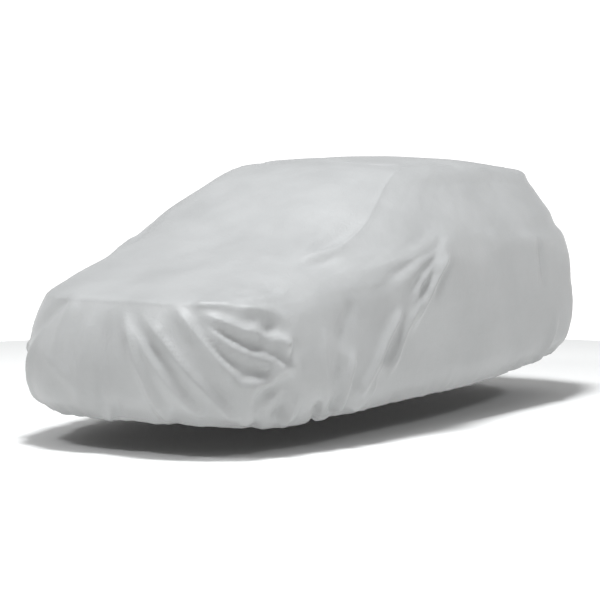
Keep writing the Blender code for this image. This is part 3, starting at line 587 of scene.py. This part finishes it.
def lay_threads(mesh, places, ring_points):
    """A UV map in metres: round and up on the rings, along and across on the roof."""
    layer = mesh.uv_layers.new(name="threads")
    uv = np.zeros((len(mesh.loops), 2), dtype=np.float32)
    for face in mesh.polygons:
        loops = list(face.loop_indices)
        corners = [mesh.loops[loop].vertex_index for loop in loops]
        if max(corners) < ring_points:
            around = places[corners]
            if around[:, 0].max() - around[:, 0].min() > ROUND_LENGTH / 2:
                around = around + [[ROUND_LENGTH, 0.0] if a < ROUND_LENGTH / 2 else [0.0, 0.0]
                                   for a in around[:, 0]]
            uv[loops] = around
        else:
            uv[loops] = [(mesh.vertices[c].co.y, mesh.vertices[c].co.x + ROUND_LENGTH)
                         for c in corners]
    layer.data.foreach_set("uv", uv.ravel())


def make_cover():
    """The draped sheet with its folds, 2 mm thick."""
    fine = BareForm(FINE_END_POSTS, FINE_SIDE_POSTS)
    coarse = BareForm(FINE_END_POSTS // 2, FINE_SIDE_POSTS // 2)
    skirt_top = list(LEVELS).index("edge")
    fine_places = list(HEM_ROWS) + list(np.linspace(SKIRT_FROM, skirt_top, SKIRT_ROWS))
    fine_places += list(np.linspace(skirt_top, FINE_TOP, SHOULDER_ROWS + 1)[1:])
    coarse_places = list(np.linspace(FINE_TOP, coarse.top, UPPER_ROWS + 1)[1:])
    rows = [fine.row(place) for place in fine_places]
    rows += [coarse.row(place) for place in coarse_places]
    points, faces = sheet_faces(rows, FINE_END_POSTS // 2, FINE_SIDE_POSTS // 2)

    mesh = bpy.data.meshes.new("cover_cloth")
    mesh.from_pydata(points.tolist(), [], faces)
    normals = np.zeros(len(points) * 3, dtype=np.float32)
    mesh.vertices.foreach_get("normal", normals)
    normals = normals.reshape(-1, 3).astype(float)

    places, levels = cloth_places(rows, fine_places + coarse_places, fine)
    ring_points = len(places)
    inside = points[ring_points:]
    places = np.concatenate([places, inside[:, [1, 0]] + ROUND_LENGTH])
    levels = np.concatenate([levels, np.full(len(inside), float(coarse.top))])
    gap = rail_gap(points, fine)
    folded = Lifts(points, normals, fine)
    lift = folded.lift + waves(places, levels) + crumples(points, places, levels)
    lift += RAIL_HEIGHT * np.exp(-(gap / RAIL_WIDTH) ** 2)
    lift += HEM_STEP * (levels < HEM_BAND)
    tent = mirror_tent(points) * np.clip(SIDE_SHARE * np.abs(normals[:, 0]), 0.0, 1.0)

    lay_threads(mesh, places, ring_points)
    for name, values in (("rail_gap", gap), ("crest_gap", folded.crest_gap),
                         ("crest", folded.crest)):
        layer = mesh.attributes.new(name, "FLOAT", "POINT")
        layer.data.foreach_set("value", values.astype(np.float32))
    points = points + normals * lift[:, None] - CARRIED_AT
    points[:, 0] += tent
    for row in SAGS.values():
        sag = named(SAG_COLUMNS, row)
        near = np.exp(-((places[:, 0] - sag["round"]) / sag["reach"]) ** 2)
        points[:, 2] -= sag["drop"] * near * ease(1.0 - levels / SAG_LEVELS)
    mesh.vertices.foreach_set("co", points.astype(np.float32).ravel())
    mesh.update()
    mesh.shade_smooth()
    cover = bpy.data.objects.new("cover_cloth", mesh)
    bpy.context.scene.collection.objects.link(cover)
    thickness = cover.modifiers.new("thickness", "SOLIDIFY")
    thickness.thickness = CLOTH_THICKNESS
    thickness.offset = -1.0
    # The inner face takes the dark second material: partly a guess at the real back, partly painted
    # shade for the hollow under the cover.
    thickness.material_offset = 1
    return cover


# ---- materials ----

# The yarns are 0.3 mm wide and the stitches 3 mm long; both are drawn coarser so that they show.
YARN_DRAWN = 0.003
STITCH_DRAWN = 0.009
STITCH_GAP = -0.4
STITCH_HALF_WIDTH = 0.0012
CLOTH_DARK = "#A4A5A5"
CLOTH_LIGHT = "#ABACAC"
# The back's dark tones: partly a guess at its real colour, partly painted shade that darkens the
# hollow under the cover.
BACK_DARK = "#353638"
BACK_LIGHT = "#404143"
THREAD_GREY = "#9A9B9B"
STITCH_ROWS = (0.006, 0.022)
RAIL_CREASE_HALF_WIDTH = 0.012
CREST_HALF_WIDTH = 0.019
# How deep each relief of the outer face is, and how strongly it shows.
RELIEFS = {"crest": (0.006, 0.42), "crinkle": (0.006, 0.40), "rail": (0.004, 0.4),
           "stitch": (0.0008, 0.6), "weave": (0.0002, 0.35)}
BACK_WEAVE = (0.0003, 0.5)
# Where in their noise the coating's clouds and the dye's bands begin and end, how much longer the
# bands are along the cloth than across it, and how matt the coating is from cloud to cloud.
CLOUD_SPAN = (0.35, 0.65)
BAND_SPAN = (0.30, 0.70)
BAND_STRETCH = (6.0, 90.0, 1.0)
SHINE_SPAN = (0.3, 0.7)
SHINE_ROUGHNESS = (0.44, 0.54)
FLOOR_COLOUR = "#FEFEFD"


def linear(code):
    """A linear colour from an sRGB hex value."""
    parts = [int(code[i:i + 2], 16) / 255.0 for i in (1, 3, 5)]
    return [p / 12.92 if p <= 0.04045 else ((p + 0.055) / 1.055) ** 2.4 for p in parts] + [1.0]


def add_node(tree, kind, settings=None, links=None):
    """Add a node, set its properties and sockets, and link sockets of other nodes to it."""
    node = tree.nodes.new(kind)
    for name, value in (settings or {}).items():
        if isinstance(name, str) and hasattr(node, name):
            setattr(node, name, value)
        else:
            node.inputs[name].default_value = value
    for name, source in (links or {}).items():
        tree.links.new(source, node.inputs[name])
    return node


def two_tones(tree, source, span, tones):
    """A colour that goes from the first tone to the second as the source goes over a span."""
    ramp = add_node(tree, "ShaderNodeValToRGB", links={"Fac": source})
    for element, position, code in zip(ramp.color_ramp.elements, span, tones):
        element.position = position
        element.color = linear(code)
    return ramp.outputs["Color"]


def fading_line(tree, distance, half_width):
    """1 on a line, falling smoothly to 0 at half its width to each side."""
    line = add_node(tree, "ShaderNodeMapRange",
                    {"interpolation_type": "SMOOTHSTEP", "From Min": 0.0, "From Max": half_width,
                     "To Min": 1.0, "To Max": 0.0}, {"Value": distance})
    return line.outputs["Result"]


def plain_weave(tree, threads):
    """The height of a plain weave over its two sets of yarns."""
    scaled = add_node(tree, "ShaderNodeVectorMath",
                      {"operation": "SCALE", "Scale": 2 * math.pi / YARN_DRAWN}, {0: threads})
    across = add_node(tree, "ShaderNodeSeparateXYZ", links={0: scaled.outputs[0]})
    sines = [add_node(tree, "ShaderNodeMath", {"operation": "SINE"}, {0: across.outputs[axis]})
             for axis in ("X", "Y")]
    weave = add_node(tree, "ShaderNodeMath", {"operation": "MULTIPLY"},
                     {0: sines[0].outputs[0], 1: sines[1].outputs[0]})
    return weave.outputs[0]


def coated_polyester():
    """Silver-coated polyester taffeta: a tight plain weave under a thin, half-matt grey coating."""
    material = bpy.data.materials.new("coated_polyester_taffeta")
    material.use_nodes = True
    tree = material.node_tree
    place = add_node(tree, "ShaderNodeTexCoord")
    threads = add_node(tree, "ShaderNodeUVMap", {"uv_map": "threads"})

    # Soft clouds where the coating lies thicker or has been handled, about 300 mm across.
    clouds = add_node(tree, "ShaderNodeTexNoise", {"Scale": 3.0, "Detail": 4.0, "Roughness": 0.55},
                      {"Vector": place.outputs["Object"]})
    colour = two_tones(tree, clouds.outputs["Fac"], CLOUD_SPAN, (CLOTH_DARK, CLOTH_LIGHT))

    # The hem is turned up 25 mm and held by two rows of lock stitch.
    split = add_node(tree, "ShaderNodeSeparateXYZ", links={0: threads.outputs["UV"]})
    turns = add_node(tree, "ShaderNodeMath",
                     {"operation": "MULTIPLY", 1: 2 * math.pi / STITCH_DRAWN},
                     {0: split.outputs["X"]})
    wave = add_node(tree, "ShaderNodeMath", {"operation": "SINE"}, {0: turns.outputs[0]})
    rows = []
    for height in STITCH_ROWS:
        off = add_node(tree, "ShaderNodeMath", {"operation": "SUBTRACT", 1: height},
                       {0: split.outputs["Y"]})
        size = add_node(tree, "ShaderNodeMath", {"operation": "ABSOLUTE"}, {0: off.outputs[0]})
        rows.append(add_node(tree, "ShaderNodeMath",
                             {"operation": "LESS_THAN", 1: STITCH_HALF_WIDTH},
                             {0: size.outputs[0]}))
    both = add_node(tree, "ShaderNodeMath", {"operation": "ADD"},
                    {0: rows[0].outputs[0], 1: rows[1].outputs[0]})
    gaps = add_node(tree, "ShaderNodeMath", {"operation": "GREATER_THAN", 1: STITCH_GAP},
                    {0: wave.outputs[0]})
    stitch = add_node(tree, "ShaderNodeMath", {"operation": "MULTIPLY"},
                      {0: both.outputs[0], 1: gaps.outputs[0]})
    sewn = add_node(tree, "ShaderNodeMix", {"data_type": "RGBA"},
                    {0: stitch.outputs[0], 6: colour})
    sewn.inputs[7].default_value = linear(THREAD_GREY)

    # Papery crinkles of the coating, 20 to 60 mm long.
    crinkle = add_node(tree, "ShaderNodeTexNoise",
                       {"Scale": 22.0, "Detail": 5.0, "Roughness": 0.6, "Distortion": 0.8},
                       {"Vector": place.outputs["Object"]})
    # The bend over the roof rail and pillars, creased from being folded in store.
    gap = add_node(tree, "ShaderNodeAttribute", {"attribute_name": "rail_gap"})
    # The line along the top of each ridge, fading out over 19 mm to each side.
    crest_gap = add_node(tree, "ShaderNodeAttribute", {"attribute_name": "crest_gap"})
    crest = add_node(tree, "ShaderNodeAttribute", {"attribute_name": "crest"})
    crest_off = add_node(tree, "ShaderNodeMath", {"operation": "ABSOLUTE"},
                         {0: crest_gap.outputs["Fac"]})
    crests = add_node(tree, "ShaderNodeMath", {"operation": "MULTIPLY"},
                      {0: fading_line(tree, crest_off.outputs[0], CREST_HALF_WIDTH),
                       1: crest.outputs["Fac"]})
    heights = {"crest": crests.outputs[0], "crinkle": crinkle.outputs["Fac"],
               "rail": fading_line(tree, gap.outputs["Fac"], RAIL_CREASE_HALF_WIDTH),
               "stitch": stitch.outputs[0], "weave": plain_weave(tree, threads.outputs["UV"])}
    bump = None
    for name, (depth, strength) in RELIEFS.items():
        below = {"Normal": bump.outputs["Normal"]} if bump else {}
        bump = add_node(tree, "ShaderNodeBump", {"Distance": depth, "Strength": strength},
                        {"Height": heights[name], **below})
    shine = add_node(tree, "ShaderNodeMapRange",
                     {"From Min": SHINE_SPAN[0], "From Max": SHINE_SPAN[1],
                      "To Min": SHINE_ROUGHNESS[0], "To Max": SHINE_ROUGHNESS[1]},
                     {"Value": clouds.outputs["Fac"]})
    shader = tree.nodes["Principled BSDF"]
    shader.inputs["Specular IOR Level"].default_value = 0.45
    shader.inputs["Sheen Weight"].default_value = 0.12
    shader.inputs["Sheen Roughness"].default_value = 0.5
    tree.links.new(sewn.outputs[2], shader.inputs["Base Color"])
    tree.links.new(shine.outputs["Result"], shader.inputs["Roughness"])
    tree.links.new(bump.outputs["Normal"], shader.inputs["Normal"])
    return material


def dark_back_and_painted_shade():
    """The uncoated back of the taffeta, matt, with the bare weave. Its dark tone is partly a guess
    at the real back and partly painted shade: it darkens the hollow under the cover, where the
    left-out car would cast shade.
    """
    material = bpy.data.materials.new("dark_taffeta_back_and_painted_shade")
    material.use_nodes = True
    tree = material.node_tree
    threads = add_node(tree, "ShaderNodeUVMap", {"uv_map": "threads"})
    # Yarns take the dye unevenly: faint bands, longer along the cloth than across it.
    stretched = add_node(tree, "ShaderNodeVectorMath", {"operation": "MULTIPLY"},
                         {0: threads.outputs["UV"]})
    stretched.inputs[1].default_value = BAND_STRETCH
    bands = add_node(tree, "ShaderNodeTexNoise", {"Scale": 1.0, "Detail": 3.0},
                     {"Vector": stretched.outputs[0]})
    colour = two_tones(tree, bands.outputs["Fac"], BAND_SPAN, (BACK_DARK, BACK_LIGHT))
    depth, strength = BACK_WEAVE
    bump = add_node(tree, "ShaderNodeBump", {"Distance": depth, "Strength": strength},
                    {"Height": plain_weave(tree, threads.outputs["UV"])})
    shader = tree.nodes["Principled BSDF"]
    shader.inputs["Roughness"].default_value = 0.85
    tree.links.new(colour, shader.inputs["Base Color"])
    tree.links.new(bump.outputs["Normal"], shader.inputs["Normal"])
    return material


def plain_floor():
    """A pale, matt studio floor."""
    material = bpy.data.materials.new("pale_matt_paint")
    material.use_nodes = True
    shader = material.node_tree.nodes["Principled BSDF"]
    shader.inputs["Base Color"].default_value = linear(FLOOR_COLOUR)
    shader.inputs["Roughness"].default_value = 0.9
    return material


# ---- stage ----

FLOOR_RADIUS = 4.9
FLOOR_Y = -0.8
HORIZON_LIGHT = 1.2
ZENITH_LIGHT = 0.22
SKY_LOW = 0.06
SKY_HIGH = 0.30
LAMP_COLOUR = (0.97, 0.985, 1.0)
KEY_AT = (0.8, -3.0, 8.8)
KEY_TO = (0.0, -0.8, -0.6)
KEY_SIZE = 2.6
KEY_POWER = 1040.0
FRONT_AT = (-1.6, -8.4, 6.8)
FRONT_SIZE = 1.6
FRONT_POWER = 225.0
SIDE_AT = (8.8, 1.8, 5.6)
SIDE_SIZE = 1.6
SIDE_POWER = 150.0


def make_floor():
    """A round floor under the cover."""
    bpy.ops.object.select_all(action="DESELECT")
    bpy.ops.mesh.primitive_circle_add(vertices=96, radius=FLOOR_RADIUS, fill_type="NGON",
                                      location=(0, FLOOR_Y, GROUND))
    floor = bpy.context.object
    floor.name = "floor"
    floor.data.materials.append(plain_floor())


def add_area_light(name, place, target, size, power):
    """One round lamp that shines towards a target."""
    light = bpy.data.lights.new(name, "AREA")
    light.shape = "DISK"
    light.size = size
    light.energy = power
    light.color = LAMP_COLOUR
    holder = bpy.data.objects.new(name, light)
    holder.location = place
    holder.rotation_euler = (Vector(target) - Vector(place)).to_track_quat("-Z", "Y").to_euler()
    bpy.context.scene.collection.objects.link(holder)


def make_lights():
    """A white studio: bright low down, dimmer above, with soft lamps overhead, ahead and left."""
    world = bpy.data.worlds.new("studio")
    bpy.context.scene.world = world
    world.use_nodes = True
    tree = world.node_tree
    direction = add_node(tree, "ShaderNodeTexCoord")
    height = add_node(tree, "ShaderNodeSeparateXYZ", links={0: direction.outputs["Generated"]})
    ramp = add_node(tree, "ShaderNodeMapRange",
                    {"interpolation_type": "SMOOTHSTEP", "From Min": SKY_LOW, "From Max": SKY_HIGH,
                     "To Min": HORIZON_LIGHT, "To Max": ZENITH_LIGHT},
                    {"Value": height.outputs["Z"]})
    background = tree.nodes["Background"]
    background.inputs["Color"].default_value = (1.0, 1.0, 1.0, 1.0)
    tree.links.new(ramp.outputs["Result"], background.inputs["Strength"])
    add_area_light("overhead", KEY_AT, KEY_TO, KEY_SIZE, KEY_POWER)
    add_area_light("front", FRONT_AT, KEY_TO, FRONT_SIZE, FRONT_POWER)
    add_area_light("side", SIDE_AT, KEY_TO, SIDE_SIZE, SIDE_POWER)


CAMERA_AT = (7.65, -12.44, 1.84)
CAMERA_AZIMUTH = math.radians(31.7)
CAMERA_DOWN = math.radians(4.62)
CAMERA_LENS = 156.0
CAMERA_SENSOR = 36.0


def make_camera():
    """A long lens ahead of the cover and to its left, a little above it."""
    data = bpy.data.cameras.new("camera")
    data.sensor_width = CAMERA_SENSOR
    data.lens = CAMERA_LENS
    data.clip_end = 200.0
    camera = bpy.data.objects.new("camera", data)
    camera.location = [a - b for a, b in zip(CAMERA_AT, CARRIED_AT)]
    ahead = Vector((-math.sin(CAMERA_AZIMUTH) * math.cos(CAMERA_DOWN),
                    math.cos(CAMERA_AZIMUTH) * math.cos(CAMERA_DOWN),
                    -math.sin(CAMERA_DOWN)))
    camera.rotation_euler = ahead.to_track_quat("-Z", "Y").to_euler()
    bpy.context.scene.collection.objects.link(camera)
    bpy.context.scene.camera = camera


bpy.context.scene.view_settings.view_transform = "Standard"
cover = make_cover()
cover.data.materials.append(coated_polyester())
cover.data.materials.append(dark_back_and_painted_shade())
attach(cover, "root")
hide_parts("car_cover")
make_floor()
make_lights()
make_camera()
